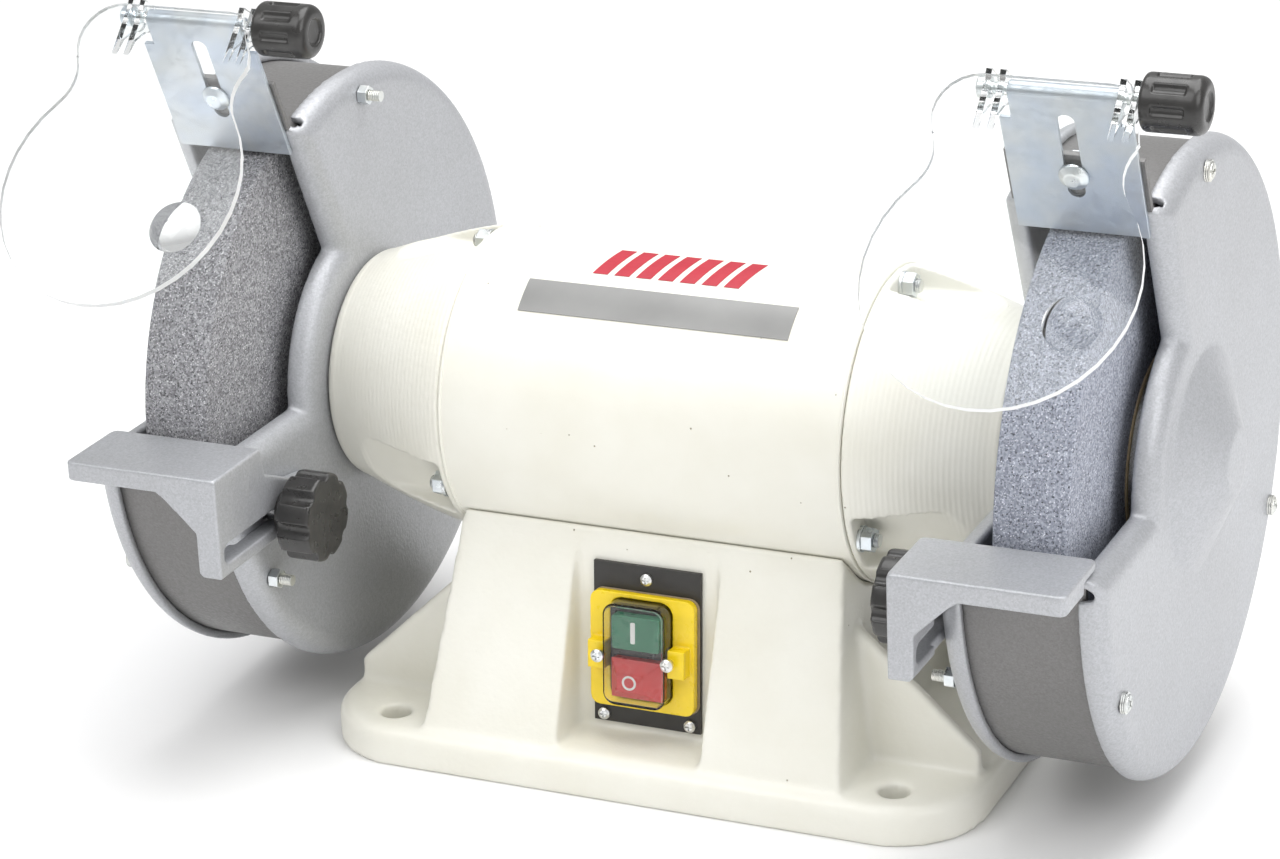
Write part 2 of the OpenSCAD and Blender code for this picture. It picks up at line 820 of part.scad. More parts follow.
module left_tool_rest_shape() {
    step = guard_r + 3.5;
    side_frame(0) difference() {
        union() {
            // table, thinner where it reaches in over the guard rim
            translate([0, table_top, 0]) rotate([90, 0, 0]) linear_extrude(4)
                translate([(table_rear + table_front) / 2, arm_in + table_w / 2])
                    round_rect(table_front - table_rear, table_w, 3);
            translate([0, table_top, 0]) rotate([90, 0, 0]) linear_extrude(9)
                translate([(step + table_front) / 2, arm_in + table_w / 2])
                    round_rect(table_front - step, table_w, 3);
            // arm beside the guard
            translate([0, 0, arm_in]) linear_extrude(arm_t)
                polygon([[table_front, slot_h - 10], [table_front, table_top - 1],
                    [table_rear, table_top - 1], [table_rear - 2, -8], [98, -21], [80, -24], [76, -30],
                    [76, slot_h - 6], [80, slot_h - 10]]);
            // brace between the arm and the table
            translate([table_front, 0, 0]) rotate([0, -90, 0]) linear_extrude(table_front - step)
                polygon([[arm_in + arm_t - 1, table_top - 5], [arm_in + arm_t + 27, table_top - 5],
                    [arm_in + arm_t + 17, table_top - 12], [arm_in + arm_t + 2.4, table_top - 26],
                    [arm_in + arm_t + 2.4, slot_h - 8], [arm_in + arm_t + 0.4, slot_h - 10],
                    [arm_in + arm_t - 1, slot_h - 10]]);
        }
        translate([0, 0, arm_in - 1]) linear_extrude(arm_t + 5) slot2d(88, table_front - 9, slot_h, slot_w);
    }
}

module left_tool_rest() {
    color("silver") left_tool_rest_shape();
}

module right_tool_rest() {
    color("silver") on_side(1) left_tool_rest_shape();
}

module rest_studs() {
    color("silver") for (s = SIDES) on_side(s) side_frame(0) translate([stud_front, slot_h, 0]) {
        translate([0, 0, guard_in + cheek_t]) cylinder(r = 8, h = 3.5);
        translate([0, 0, arm_in - 13]) cylinder(d = 8, h = guard_in + cheek_t - arm_in + 13.5);
    }
}

// A star knob that faces the motor
module left_rest_knob_shape() {
    hub = arm_in - 0.2;
    side_frame(0) translate([stud_front, slot_h, 0]) difference() {
        union() {
            translate([0, 0, hub - 6]) cylinder(r = 11, h = 6);
            translate([0, 0, hub - 22]) rotate_extrude() {
                square([knob_r - 2, 16.5]);
                translate([0, 2]) square([knob_r, 12.5]);
                for (y = [2, 14.5]) translate([knob_r - 2, y]) circle(2);
            }
        }
        for (a = [0:45:315]) rotate(a) translate([knob_r + 1.4, 0, hub - 25]) cylinder(r = 4, h = 40);
        translate([0, 0, hub - 13.5]) cylinder(d = 8.06, h = 20);
    }
}

module left_rest_knob() {
    color("black") left_rest_knob_shape();
}

module right_rest_knob() {
    color("black") on_side(1) left_rest_knob_shape();
}

// ---- spark deflectors and eye shields ----

// Frame on the seat of the deflector: x along the shaft, y out from the shaft, z to the front
module deflector_frame(s) {
    translate([s * unit_x, 0, shaft_h]) rotate([180 - open_top, 0, 0])
        translate([0, 0, seat_gap]) children();
}

module deflector(s) {
    neck = 2 * (rib_x[0] - 0.6);
    deflector_frame(s) difference() {
        union() {
            linear_extrude(defl_t) {
                translate([-defl_w / 2, defl_r0]) square([defl_w, 58.4]);
                translate([-neck / 2, defl_r0 + 50]) square([neck, hinge_r - defl_r0 - 50]);
            }
            translate([-neck / 2, hinge_r, hinge_off]) rotate([0, 90, 0]) cylinder(r = barrel_r, h = neck);
        }
        translate([0, 0, -9]) linear_extrude(14) rotate(90) slot2d(150, 186, 0, 7.4);
        translate([-neck, hinge_r, hinge_off]) rotate([0, 90, 0])
            cylinder(d = hinge_pin + 0.1, h = 2 * neck);
    }
}

module left_deflector() {
    color("lightsteelblue") deflector(-1);
}

module right_deflector() {
    color("lightsteelblue") deflector(1);
}

module deflector_bolts() {
    color("lightgray") for (s = SIDES) deflector_frame(s) translate([0, defl_bolt_r, 0]) {
        translate([0, 0, defl_t + 0.1]) cylinder(r = 6.5, h = 1.4);
        translate([0, 0, defl_t + 1.5 - eps]) cylinder(r1 = 6.5, r2 = 3.5, h = 2.2);
        translate([0, 0, -11]) cylinder(d = 6, h = defl_t + 11.2);
    }
}

module deflector_nuts() {
    color("lightgray") for (s = SIDES) deflector_frame(s)
        translate([0, defl_bolt_r, -band_t - seat_gap - 5.05]) hex_nut(10, 5, 6.02);
}

// Frame on the shield hinge: x along the shaft, y down the shield, z towards the wheel
module shield_frame(s) {
    translate([s * unit_x, hinge_y, hinge_z]) rotate([270 - shield_tilt, 0, 0]) children();
}

// Half outline of a shield: round shoulder, drawn-in waist, wide round foot
function shield_half(b) = concat(
    arc(26.5, 16, 18, -90, 31, 8),
    arc(59.5, 36, 20, 211, 141, 6),
    arc(0, b - 57, 57, -39, 90, 14));

module eye_shield(s) {
    half = shield_half(shield_len);
    n = len(half);
    far = -9;
    pin = hinge_pin + 0.1;
    shield_frame(s) difference() {
        union() {
            translate([0, 0, far]) linear_extrude(shield_t) translate([shield_off, 0])
                difference() {
                    polygon(concat(half, [for (i = [n - 2:-1:0]) [-half[i][0], half[i][1]]]));
                    // the shoulder under the knob is cut back
                    polygon([[31, -4], [37.9, 11.2], [41.3, 17.5], [42.6, 23], [60, 23], [60, -4]]);
                }
            // ribs that carry the hinge bolt
            for (m = SIDES, x = rib_x) translate([m > 0 ? x : -x - rib_t, 0, 0])
                rotate([90, 0, 90]) linear_extrude(rib_t) {
                    circle(6.6);
                    polygon([[-5, far + 1], [-6.2, -2], [6.2, 2], [14, far + 5], [30, far + 1]]);
                }
            // moulded magnifier
            intersection() {
                translate([28, 102, far + 8]) sphere(r = 14.4);
                translate([0, 90, far - 7]) cube([60, 30, 7.5]);
            }
        }
        translate([-60, 0, 0]) rotate([0, 90, 0]) cylinder(d = pin, h = 120);
    }
}

module left_eye_shield() {
    color("azure", 0.4) eye_shield(-1);
}

module right_eye_shield() {
    color("azure", 0.4) eye_shield(1);
}

module hinge_bolt(s) {
    color("silver") shield_frame(s) rotate([0, 90, 0]) {
        translate([0, 0, -36]) cylinder(r = 4.6, h = 3.75);
        translate([0, 0, -33]) cylinder(d = hinge_pin, h = knob_end - 8 + 33);
    }
}

module left_hinge_bolt() {
    hinge_bolt(-1);
}

module right_hinge_bolt() {
    hinge_bolt(1);
}

// A fluted barrel knob
module shield_knob(s) {
    r = 12;
    len = knob_end - knob_start;
    color("black") shield_frame(s) translate([knob_start, 0, 0]) rotate([0, 90, 0]) difference() {
        rotate_extrude() {
            square([r - 4, len]);
            translate([0, 2]) square([r, len - 6]);
            translate([r - 2, 2]) circle(2);
            translate([r - 4, len - 4]) circle(4);
            square([r - 2, 3]);
        }
        for (a = [0:45:315]) rotate(a) {
            translate([r + 1.4, 0, 5]) cylinder(r = 2.8, h = len - 12);
        }
        translate([0, 0, -1]) cylinder(d = hinge_pin + 0.06, h = len - 6);
        translate([0, 0, len - 1]) cylinder(r = 6, h = 2);
    }
}

module left_shield_knob() {
    shield_knob(-1);
}

module right_shield_knob() {
    shield_knob(1);
}

base_casting();
cable_gland();
gland_nut();
motor_mount_bolts();
switch_plate();
switch_body();
switch_gasket();
switch_frame();
switch_cover();
start_button();
stop_button();
switch_plate_screws();
switch_cover_screws();
motor_housing();
label_strip();
left_end_bell();
right_end_bell();
stator_core();
stator_windings();
rotor_core();
rotor_end_rings();
shaft();
bearing_outer_rings();
bearing_inner_rings();
preload_washers();
shaft_seals();
tie_studs();
tie_washers();
tie_nuts();
left_inner_cheek();
left_outer_cheek();
left_guard_band();
right_inner_cheek();
right_outer_cheek();
right_guard_band();
cheek_screws();
guard_bolts();
guard_nuts();
left_wheel();
right_wheel();
wheel_bushes();
blotters();
inner_flanges();
outer_flanges();
shaft_nuts();
left_tool_rest();
right_tool_rest();
rest_studs();
left_rest_knob();
right_rest_knob();
left_deflector();
right_deflector();
deflector_bolts();
deflector_nuts();
left_eye_shield();
right_eye_shield();
left_hinge_bolt();
right_hinge_bolt();
left_shield_knob();
right_shield_knob();
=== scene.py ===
"""Looks for a bench grinder: materials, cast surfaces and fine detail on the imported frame."""

import json
import math

import bmesh
import bpy
from mathutils import Matrix, Vector


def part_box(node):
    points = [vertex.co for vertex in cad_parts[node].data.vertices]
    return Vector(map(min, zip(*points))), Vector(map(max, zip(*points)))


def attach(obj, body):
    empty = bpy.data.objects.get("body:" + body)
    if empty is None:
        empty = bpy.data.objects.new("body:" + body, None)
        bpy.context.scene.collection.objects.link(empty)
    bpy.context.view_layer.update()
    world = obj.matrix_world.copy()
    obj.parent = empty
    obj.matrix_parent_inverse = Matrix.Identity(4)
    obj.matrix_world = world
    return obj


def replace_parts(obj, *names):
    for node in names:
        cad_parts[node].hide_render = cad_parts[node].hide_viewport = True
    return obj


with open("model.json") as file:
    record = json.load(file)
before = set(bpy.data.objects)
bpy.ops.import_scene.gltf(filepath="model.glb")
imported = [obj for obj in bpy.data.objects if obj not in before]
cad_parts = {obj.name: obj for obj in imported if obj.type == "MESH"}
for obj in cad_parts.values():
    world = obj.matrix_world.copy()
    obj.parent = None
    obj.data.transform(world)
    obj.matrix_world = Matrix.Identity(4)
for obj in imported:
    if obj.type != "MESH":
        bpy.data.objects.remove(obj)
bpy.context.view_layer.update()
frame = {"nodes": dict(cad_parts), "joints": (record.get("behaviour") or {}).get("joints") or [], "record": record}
NODES = frame["nodes"]
BODY_OF = {n: b for b, members in frame["record"]["behaviour"]["bodies"].items() for n in members}
SLOT_OF = {s["node"]: s["material_slot"] for s in frame["record"]["subparts"]}
SIDES = {"left": -1, "right": 1}

# ---- sizes read from the frame, in metres ----

housing_low, housing_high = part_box("motor_housing")
SHAFT_Z = (housing_low.z + housing_high.z) / 2
HOUSING_R = (housing_high.y - housing_low.y) / 2
HOUSING_END = housing_high.x
wheel_low, wheel_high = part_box("right_wheel")
WHEEL_R = (wheel_high.z - wheel_low.z) / 2
WHEEL_IN, WHEEL_OUT = wheel_low.x, wheel_high.x


# ---- materials ----

class Finish:
    """A Principled material, with short calls for the nodes that feed it."""

    def __init__(self, name, colour, rough=0.5, metal=0.0, **fixed):
        self.mat = bpy.data.materials.new(name)
        self.mat.use_nodes = True
        self.tree = self.mat.node_tree
        self.out = self.tree.nodes["Principled BSDF"]
        self.out.inputs["Base Color"].default_value = (*colour, 1)
        self.out.inputs["Roughness"].default_value = rough
        self.out.inputs["Metallic"].default_value = metal
        for socket, value in fixed.items():
            self.out.inputs[socket.replace("_", " ")].default_value = value
        self.place = self.add("ShaderNodeTexCoord").outputs["Object"]
        self.relief = None

    def add(self, kind, **settings):
        node = self.tree.nodes.new(kind)
        for key, value in settings.items():
            setattr(node, key, value)
        return node

    def put(self, value, socket):
        """Feeds a socket from another one, or sets it to a plain value."""
        if isinstance(value, bpy.types.NodeSocket):
            self.tree.links.new(value, socket)
        else:
            socket.default_value = value

    def moved(self, offset, stretch=(1, 1, 1)):
        """The place on the piece, shifted and stretched before a texture reads it."""
        where = self.add("ShaderNodeMapping")
        self.put(self.place, where.inputs["Vector"])
        where.inputs["Scale"].default_value = stretch
        where.inputs["Location"].default_value = offset
        return where.outputs["Vector"]

    def noise(self, size, detail=3.0, stretch=(1, 1, 1), seed=0.0):
        """Noise whose features are about size metres across."""
        node = self.add("ShaderNodeTexNoise")
        self.put(self.moved((seed, 2 * seed, 3 * seed), stretch), node.inputs["Vector"])
        node.inputs["Scale"].default_value = 1 / size
        node.inputs["Detail"].default_value = detail
        return node.outputs["Fac"]

    def cells(self, size, output="Color", seed=0.0):
        """Cells about size metres across: their own colour, or the distance from each one's middle."""
        node = self.add("ShaderNodeTexVoronoi")
        self.put(self.moved((seed, seed, seed)), node.inputs["Vector"])
        node.inputs["Scale"].default_value = 1 / size
        return node.outputs[output]

    def axis(self, name):
        split = self.add("ShaderNodeSeparateXYZ")
        self.put(self.place, split.inputs[0])
        return split.outputs[name]

    def math(self, operation, a, b=0.0):
        node = self.add("ShaderNodeMath", operation=operation)
        self.put(a, node.inputs[0])
        self.put(b, node.inputs[1])
        return node.outputs[0]

    def spread(self, value, low, high, to_low=0.0, to_high=1.0):
        """Maps low..high onto to_low..to_high, and stops at both."""
        node = self.add("ShaderNodeMapRange", clamp=True)
        for socket, x in zip(("Value", "From Min", "From Max", "To Min", "To Max"),
                             (value, low, high, to_low, to_high)):
            self.put(x, node.inputs[socket])
        return node.outputs["Result"]

    def mix(self, factor, a, b):
        """A colour between a and b, each a triple or a socket."""
        node = self.add("ShaderNodeMix", data_type="RGBA")
        first, second, result = node.inputs[6], node.inputs[7], node.outputs[2]
        self.put(factor, node.inputs[0])
        for x, socket in ((a, first), (b, second)):
            self.put((*x, 1) if isinstance(x, tuple) else x, socket)
        return result

    def colour(self, value):
        self.put(value, self.out.inputs["Base Color"])

    def rough(self, value):
        self.put(value, self.out.inputs["Roughness"])

    def bump(self, height, depth, strength=1.0):
        """Adds relief of about depth metres on top of what is there."""
        node = self.add("ShaderNodeBump")
        node.inputs["Distance"].default_value = depth
        node.inputs["Strength"].default_value = strength
        self.put(height, node.inputs["Height"])
        if self.relief is not None:
            self.put(self.relief, node.inputs["Normal"])
        self.relief = node.outputs["Normal"]
        self.put(self.relief, self.out.inputs["Normal"])


def specks(finish, size, share, seed):
    """A mask of sparse round spots: size is the spacing, share the part of the spacing that a spot fills."""
    distance = finish.cells(size, "Distance", seed)
    chosen = finish.spread(finish.cells(size, "Color", seed), 0.62, 0.66)
    return finish.math("MULTIPLY", finish.spread(distance, share, share * 0.6), chosen)


def cream_paint(name, grain):
    """Cream enamel. grain is the height of the casting's texture under it, in metres."""
    deep, pale, pinhole = (0.765, 0.75, 0.665), (0.815, 0.805, 0.735), (0.30, 0.25, 0.17)
    f = Finish(name, (0.8, 0.78, 0.7), 0.36, IOR=1.5, Coat_Weight=0.25, Coat_Roughness=0.22)
    base = f.mix(f.spread(f.noise(0.045, 4), 0.3, 0.7), deep, pale)
    spots = specks(f, 0.011, 0.045, 0.3)
    f.colour(f.mix(spots, base, pinhole))
    f.rough(f.spread(f.noise(0.012, 3, seed=0.4), 0.3, 0.7, 0.32, 0.46))
    f.bump(f.noise(0.0030, 5), grain)
    f.bump(f.noise(0.016, 2, seed=0.7), grain * 1.6)
    f.bump(f.math("MULTIPLY", spots, -1.0), 0.0004)
    return f


def bell_paint():
    """Cream enamel over a cone that was turned on a lathe, with its fine rings left showing."""
    ring_pitch, ring_depth = 0.0023, 0.000028
    cone_length, cone_drop, cone_curve = 0.055, 0.015, 1.3
    f = cream_paint("cream_enamel_turned", 0.00006)
    wave = f.math("SINE", f.math("MULTIPLY", f.axis("X"), 2 * math.pi / ring_pitch))
    along = f.math("SUBTRACT", f.math("ABSOLUTE", f.axis("X")), HOUSING_END)
    fall = f.math("POWER", f.math("DIVIDE", along, cone_length), cone_curve)
    cone_r = f.math("SUBTRACT", HOUSING_R, f.math("MULTIPLY", fall, cone_drop))
    up = f.math("SUBTRACT", f.axis("Z"), SHAFT_Z)
    out = f.math("SQRT", f.math("ADD", f.math("POWER", f.axis("Y"), 2.0), f.math("POWER", up, 2.0)))
    on_cone = f.spread(f.math("SUBTRACT", out, cone_r), -0.0022, -0.0012)
    f.bump(f.math("MULTIPLY", wave, on_cone), ring_depth)
    return f


def hammered_grey(name, tone, warm=0.0):
    """Silver-grey enamel with fine metal flake over a sand casting."""
    dark = (tone * 0.88, tone * (0.90 - warm * 0.4), tone * (0.94 - warm))
    light = (tone * 1.08, tone * (1.10 - warm * 0.4), tone * (1.16 - warm))
    f = Finish(name, light, 0.45, 0.45, IOR=1.5, Coat_Weight=0.15, Coat_Roughness=0.3)
    base = f.mix(f.spread(f.cells(0.0007), 0.1, 0.9), dark, light)
    cloud = f.spread(f.noise(0.05, 3), 0.3, 0.7, 0.0, 0.16)
    f.colour(f.mix(cloud, base, (tone * 0.7,) * 3))
    f.rough(f.spread(f.noise(0.0016, 2, seed=0.2), 0.3, 0.7, 0.36, 0.56))
    f.bump(f.noise(0.0016, 4), 0.00016)
    f.bump(f.noise(0.010, 2, seed=0.5), 0.00022)
    return f


def grit(name, dark, light, sparkle):
    """An open abrasive face: hard grains of mixed tone with dark pores between them."""
    f = Finish(name, light, 0.75, IOR=1.6)
    grain = f.cells(0.0008)
    fine = f.cells(0.0005, seed=0.37)
    base = f.mix(f.spread(grain, 0.12, 0.9), dark, light)
    base = f.mix(f.spread(fine, 0.78, 0.9), base, sparkle)
    pores = f.spread(f.noise(0.0011, 3, seed=0.9), 0.40, 0.33)
    f.colour(f.mix(pores, base, tuple(0.4 * c for c in dark)))
    f.rough(f.spread(fine, 0.2, 0.9, 0.5, 0.85))
    f.bump(f.math("SUBTRACT", grain, f.math("MULTIPLY", pores, 1.5)), 0.0003, 0.7)
    f.bump(f.noise(0.006, 3), 0.0004, 0.4)
    return f


def zinc_plate(name, tone=(0.66, 0.69, 0.70), rough=0.24):
    """Bright zinc plate with a faint blue and straw cast."""
    red, green, blue = tone
    bluish, straw = (red * 0.95, green * 0.99, blue * 1.06), (red * 1.06, green * 1.04, blue)
    spangle = (0.45, 0.47, 0.47)
    f = Finish(name, tone, rough, 1.0)
    base = f.mix(f.spread(f.noise(0.022, 3), 0.35, 0.65), bluish, straw)
    f.colour(f.mix(f.spread(f.cells(0.0012), 0.2, 0.8, 0.0, 0.10), base, spangle))
    f.rough(f.spread(f.noise(0.004, 4, seed=0.3), 0.3, 0.7, rough, rough + 0.2))
    f.bump(f.noise(0.0009, 3), 0.00003)
    return f


def threaded_steel():
    """Zinc-plated fasteners whose thread is cut along the shaft."""
    pitch, depth = 0.0009, 0.00016
    f = zinc_plate("zinc_thread", (0.72, 0.72, 0.68))
    f.bump(f.math("SINE", f.math("MULTIPLY", f.axis("X"), 2 * math.pi / pitch)), depth)
    return f


def turned_steel(name, tone=0.58):
    """Bright steel with the fine lines of a lathe round the shaft."""
    f = Finish(name, (tone, tone, tone * 1.01), 0.28, 1.0, Anisotropic=0.4)
    lines = f.noise(0.0011, 3, (30, 1, 1))
    f.colour(f.mix(f.spread(lines, 0.3, 0.7), (tone * 0.86,) * 3, (tone * 1.08,) * 3))
    f.rough(f.spread(lines, 0.3, 0.7, 0.22, 0.36))
    f.bump(lines, 0.00002)
    return f


def moulded(name, colour, rough=0.28, mottle=0.10, grain=0.00003):
    """Moulded plastic with a slight skin texture and hand wear that dulls it in patches."""
    f = Finish(name, colour, rough, IOR=1.5, Coat_Weight=0.2, Coat_Roughness=0.12)
    darker = tuple(c * (1 - mottle) for c in colour)
    lighter = tuple(min(1, c * (1 + mottle) + 0.004) for c in colour)
    f.colour(f.mix(f.spread(f.noise(0.008, 4), 0.3, 0.7), darker, lighter))
    f.rough(f.spread(f.noise(0.005, 4, seed=0.6), 0.3, 0.7, rough * 0.8, rough * 1.35))
    f.bump(f.noise(0.0012, 3), grain)
    return f


def clear(name, tint, rough=0.02, through=0.985):
    """Clear moulded plastic with the faintest ripple. through is the share of light that passes it."""
    f = Finish(name, tint, rough, Transmission_Weight=through, IOR=1.3)
    f.rough(f.spread(f.noise(0.03, 4), 0.55, 0.8, rough, rough + 0.05))
    f.bump(f.noise(0.02, 2), 0.00004, 0.4)
    return f


def plain(name, colour, rough, metal=0.0, scale=0.004, depth=0.00004):
    """A plain surface whose tone, gloss and skin vary over about scale metres."""
    f = Finish(name, colour, rough, metal)
    tone = tuple(c * 0.85 for c in colour)
    f.colour(f.mix(f.spread(f.noise(scale, 4), 0.3, 0.7), tone, colour))
    f.rough(f.spread(f.noise(scale * 2, 3, seed=0.5), 0.3, 0.7, rough * 0.85, min(1, rough * 1.2)))
    f.bump(f.noise(scale * 0.5, 3), depth)
    return f


FINISHES = {
    "cream_paint": cream_paint("cream_enamel", 0.00022),
    "smooth_cream": cream_paint("cream_enamel_smooth", 0.00005),
    "bell_paint": bell_paint(),
    "grey_paint": hammered_grey("grey_enamel", 0.44),
    "grey_sheet": hammered_grey("grey_enamel_sheet", 0.185, 0.11),
    "left_grit": grit("abrasive_dark", (0.13, 0.13, 0.14), (0.42, 0.42, 0.44), (0.72, 0.72, 0.74)),
    "right_grit": grit("abrasive_pale", (0.17, 0.185, 0.23), (0.44, 0.465, 0.545), (0.70, 0.72, 0.78)),
    "zinc": zinc_plate("zinc"),
    "blue_zinc": zinc_plate("zinc_sheet", (0.50, 0.535, 0.575), 0.36),
    "thread": threaded_steel(),
    "chrome_screws": zinc_plate("nickel_screws", (0.80, 0.79, 0.76)),
    "turned_steel": turned_steel("turned_steel"),
    "bearing_steel": turned_steel("bearing_steel", 0.68),
    "black_plastic": moulded("black_plastic", (0.018, 0.017, 0.016), 0.30, 0.25),
    "black_plate": plain("black_plate", (0.028, 0.026, 0.024), 0.42),
    "yellow_plastic": moulded("yellow_plastic", (0.86, 0.62, 0.004), 0.30, 0.05),
    "green_plastic": moulded("green_plastic", (0.035, 0.19, 0.105), 0.30, 0.08),
    "red_plastic": moulded("red_plastic", (0.62, 0.030, 0.028), 0.28, 0.08),
    "clear_plastic": clear("clear_plastic", (0.97, 0.985, 0.985)),
    "frosted_edge": clear("frosted_edge", (0.96, 0.97, 0.97), 0.3, 0.35),
    "clear_cover": clear("clear_cover", (0.98, 0.98, 0.975), 0.012, 1.0),
    "gasket": moulded("gasket_rubber", (0.30, 0.23, 0.14), 0.55, 0.12, 0.00006),
    "label_print": plain("label_foil", (0.29, 0.29, 0.285), 0.34, 0.3, 0.03, 0.00001),
    "core_iron": plain("core_iron", (0.14, 0.14, 0.15), 0.5, 0.8),
    "rotor_alloy": plain("rotor_alloy", (0.62, 0.62, 0.63), 0.4, 1.0),
    "winding": plain("winding", (0.42, 0.15, 0.05), 0.35, 0.3, 0.0012, 0.0003),
    "bush": moulded("white_bush", (0.72, 0.70, 0.63), 0.45, 0.06),
    "blotter_paper": plain("blotter_paper", (0.55, 0.43, 0.26), 0.9, 0.0, 0.002, 0.0001),
    "white_mark": moulded("white_mark", (0.85, 0.85, 0.83), 0.35, 0.03),
    "red_mark": moulded("red_mark", (0.42, 0.012, 0.030), 0.35, 0.05),
}
# CAD nodes whose finish differs from the rest of their material slot
SPECIAL = {
    "motor_housing": "smooth_cream",
    "left_end_bell": "bell_paint",
    "right_end_bell": "bell_paint",
    "left_wheel": "left_grit",
    "right_wheel": "right_grit",
    "tie_studs": "thread",
    "guard_bolts": "thread",
    "left_deflector": "blue_zinc",
    "right_deflector": "blue_zinc",
    "switch_cover": "clear_cover",
}


def dress(obj, finish):
    obj.data.materials.clear()
    obj.data.materials.append(FINISHES[finish].mat)


# ---- mesh tools ----

WELD_GAP = 0.00002


def modifier(obj, kind, **settings):
    m = obj.modifiers.new(kind.lower(), kind)
    for key, value in settings.items():
        setattr(m, key, value)


def drop_imported_normals(mesh):
    """Lets a changed mesh be shaded by its own faces."""
    if "custom_normal" in mesh.attributes:
        mesh.attributes.remove(mesh.attributes["custom_normal"])


def soften(obj, width):
    """Breaks the sharp edges of a CAD node, as a real edge is broken."""
    drop_imported_normals(obj.data)
    obj.data.shade_smooth()
    modifier(obj, "WELD", merge_threshold=WELD_GAP)
    modifier(obj, "DECIMATE", decimate_type="DISSOLVE", angle_limit=math.radians(0.5))
    modifier(obj, "BEVEL", width=width, segments=3, limit_method="ANGLE", angle_limit=math.radians(32),
             harden_normals=True, use_clamp_overlap=True, miter_outer="MITER_ARC")


def new_piece(name, mesh, body, finish):
    obj = bpy.data.objects.new(name, mesh)
    bpy.context.scene.collection.objects.link(obj)
    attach(obj, body)
    dress(obj, finish)
    return obj


def settled(obj):
    """A copy of the mesh that obj has with its modifiers on."""
    seen = obj.evaluated_get(bpy.context.evaluated_depsgraph_get())
    return bpy.data.meshes.new_from_object(seen)


def cast(node, voxel, passes, finish, keep=0.5):
    """A casting in place of a CAD node: the same solid, with every edge and corner run soft.

    voxel is the grain of the new mesh in metres, passes the rounds of smoothing, keep the share of
    faces left at the end."""
    rough = bpy.data.objects.new("rough", NODES[node].data.copy())
    bpy.context.scene.collection.objects.link(rough)
    drop_imported_normals(rough.data)
    modifier(rough, "WELD", merge_threshold=WELD_GAP)
    modifier(rough, "REMESH", mode="VOXEL", voxel_size=voxel, adaptivity=0.0)
    modifier(rough, "SMOOTH", factor=0.5, iterations=passes)
    modifier(rough, "DECIMATE", decimate_type="COLLAPSE", ratio=keep)
    mesh = settled(rough)
    mesh.name = node + "_cast"
    bpy.data.objects.remove(rough)
    mesh.shade_smooth()
    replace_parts(new_piece(node + "_cast", mesh, BODY_OF[node], finish), node)


def circle(radius, points):
    turns = (2 * math.pi * i / points for i in range(points))
    return [(radius * math.cos(t), radius * math.sin(t)) for t in turns]


def strip(bm, a, b):
    """A closed band of faces between two loops with the same number of vertices."""
    for i in range(len(a)):
        j = (i + 1) % len(a)
        bm.faces.new((a[i], a[j], b[j], b[i]))


def closed_mesh(name, bm):
    """The mesh of a closed form, with its faces turned outwards."""
    bmesh.ops.recalc_face_normals(bm, faces=bm.faces)
    mesh = bpy.data.meshes.new(name)
    bm.to_mesh(mesh)
    bm.free()
    return mesh


def turned(name, profile, segments, body, finish):
    """A body turned round the shaft, from closed points of (x, radius)."""
    bm = bmesh.new()
    rings = [[bm.verts.new((x, r * y, SHAFT_Z + r * z)) for x, r in profile] for y, z in circle(1, segments)]
    for k in range(segments):
        strip(bm, rings[k], rings[(k + 1) % segments])
    mesh = closed_mesh(name, bm)
    mesh.shade_smooth()
    mesh.set_sharp_from_angle(angle=math.radians(50))
    return new_piece(name, mesh, body, finish)


# ---- pieces of the grinder ----

def broken_edges():
    """Sheet, turned and pressed nodes, each with its sharp edges broken by the width given in metres."""
    nodes_by_width = {
        0.0001: ("label_strip",),
        0.0002: ("tie_washers",),
        0.00025: ("switch_plate_screws", "switch_cover_screws"),
        0.0003: ("deflector_nuts", "guard_nuts", "cheek_screws", "switch_plate", "switch_gasket",
                 "switch_body"),
        0.00035: ("left_deflector", "right_deflector"),
        0.0004: ("guard_bolts", "tie_nuts", "rest_studs", "motor_mount_bolts"),
        0.0005: ("tie_studs", "cable_gland", "gland_nut"),
        0.0006: ("motor_housing", "left_guard_band", "right_guard_band", "deflector_bolts", "shaft_nuts",
                 "left_hinge_bolt", "right_hinge_bolt"),
        0.0008: ("switch_cover",),
    }
    for width, nodes in nodes_by_width.items():
        for node in nodes:
            soften(NODES[node], width)


def mouldings():
    """Knobs, buttons and the switch frame, with the soft corners of moulded plastic."""
    for kind in ("rest", "shield"):
        for side in SIDES:
            cast(f"{side}_{kind}_knob", 0.0005, 4, "black_plastic", 0.4)
    cast("start_button", 0.0003, 3, "green_plastic", 0.4)
    cast("stop_button", 0.0003, 3, "red_plastic", 0.4)
    cast("switch_frame", 0.0004, 3, "yellow_plastic", 0.4)


def castings():
    """Base, end bells, cheeks and tool rests, with the run edges of painted iron."""
    cast("base_casting", 0.0016, 7, "cream_paint")
    for side in SIDES:
        cast(side + "_end_bell", 0.0011, 3, "bell_paint")
        cast(side + "_inner_cheek", 0.0011, 5, "grey_paint")
        cast(side + "_outer_cheek", 0.0011, 5, "grey_paint")
        cast(side + "_tool_rest", 0.0008, 5, "grey_paint")


